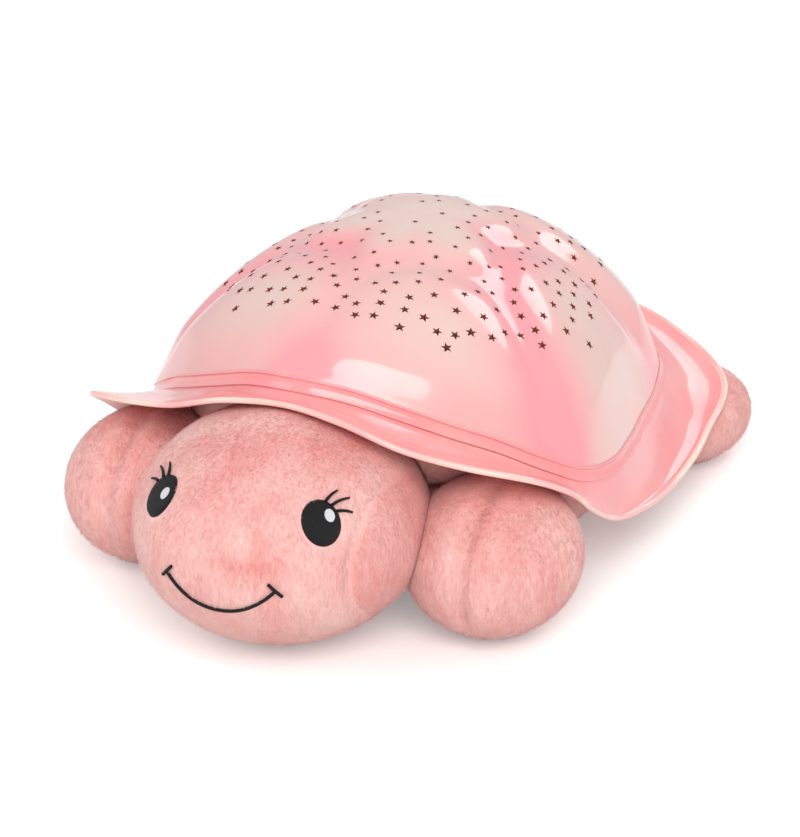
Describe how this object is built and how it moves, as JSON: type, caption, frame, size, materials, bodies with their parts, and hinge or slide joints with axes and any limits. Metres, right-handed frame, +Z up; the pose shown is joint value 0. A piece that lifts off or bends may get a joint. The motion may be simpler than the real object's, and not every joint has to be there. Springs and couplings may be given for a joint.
{
  "type": "star night light projector",
  "caption": "Plush turtle with a hard glossy domed shell pierced with star holes; lamps inside throw stars on the ceiling, with press buttons low on the back.",
  "frame": {"origin": "bottom centre of the whole toy, on the floor it stands on", "axes": "+Z up; the turtle faces -Y and its left side is +X"},
  "size_m": [0.212, 0.2929, 0.1195],
  "materials": {
    "shell_plastic": "moulded, polished, airbrushed pink in the valleys",
    "case_plastic": "moulded, fine texture",
    "screw_steel": "zinc plated",
    "board_laminate": "solder mask",
    "tower_plastic": "moulded",
    "lamp_lens": "clear cast lens",
    "chip_plastic": "moulded",
    "capacitor_sleeve": "shrink sleeve",
    "battery_sleeve": "plain wrapped cell",
    "contact_metal": "nickel plated",
    "lead_sleeve": "wire sleeve",
    "pink_plush": "short pile plush",
    "belly_cloth": "knitted cloth",
    "hook_tape": "hook and loop tape",
    "power_button_plastic": "moulded, polished",
    "amber_button_plastic": "moulded, polished",
    "green_button_plastic": "moulded, polished",
    "blue_button_plastic": "moulded, polished",
    "plunger_plastic": "moulded"
  },
  "bodies": {
    "toy": {"star_shell": "shell_plastic", "lower_case": "case_plastic", "hem_ring": "case_plastic", "case_screws": "screw_steel", "circuit_board": "board_laminate", "board_screws": "screw_steel", "lamp_tower": "tower_plastic", "lamp_board": "board_laminate", "led_lamps": "lamp_lens", "timer_chip": "chip_plastic", "capacitors": "capacitor_sleeve", "battery_tray": "case_plastic", "batteries": "battery_sleeve", "battery_contacts": "contact_metal", "battery_leads": "lead_sleeve", "button_board": "board_laminate", "tact_switches": "chip_plastic", "button_lead": "lead_sleeve", "plush_body": "pink_plush", "plush_head": "pink_plush", "front_left_foot": "pink_plush", "front_right_foot": "pink_plush", "rear_left_foot": "pink_plush", "rear_right_foot": "pink_plush", "plush_tail": "pink_plush", "loop_strip": "hook_tape"},
    "power_key": {"power_button": "power_button_plastic", "power_plunger": "plunger_plastic"},
    "amber_key": {"amber_button": "amber_button_plastic", "amber_plunger": "plunger_plastic"},
    "green_key": {"green_button": "green_button_plastic", "green_plunger": "plunger_plastic"},
    "blue_key": {"blue_button": "blue_button_plastic", "blue_plunger": "plunger_plastic"},
    "battery_cover": {"battery_door": "case_plastic", "battery_door_screw": "screw_steel"},
    "belly_cover": {"belly_flap": "belly_cloth", "hook_strip": "hook_tape"}
  },
  "joints": [
    {"name": "power_press", "type": "slide", "parent": "toy", "child": "power_key", "axis": [0, -0.7001, -0.714], "range_m": [0, 0.001], "stiffness_N_per_m": 300, "springref_m": -0.001},
    {"name": "amber_press", "type": "slide", "parent": "toy", "child": "amber_key", "axis": [0, -0.7001, -0.714], "range_m": [0, 0.001], "stiffness_N_per_m": 300, "springref_m": -0.001},
    {"name": "green_press", "type": "slide", "parent": "toy", "child": "green_key", "axis": [0, -0.7001, -0.714], "range_m": [0, 0.001], "stiffness_N_per_m": 300, "springref_m": -0.001},
    {"name": "blue_press", "type": "slide", "parent": "toy", "child": "blue_key", "axis": [0, -0.7001, -0.714], "range_m": [0, 0.001], "stiffness_N_per_m": 300, "springref_m": -0.001},
    {"name": "battery_door_lift", "type": "slide", "parent": "toy", "child": "battery_cover", "axis": [0, 0, -1], "range_m": [0, 0.0035]},
    {"name": "belly_flap_hinge", "type": "hinge", "parent": "toy", "child": "belly_cover", "pos_m": [0, 0.0548, 0.0015], "axis": [1, 0, 0], "range_deg": [0, 110]}
  ]
}
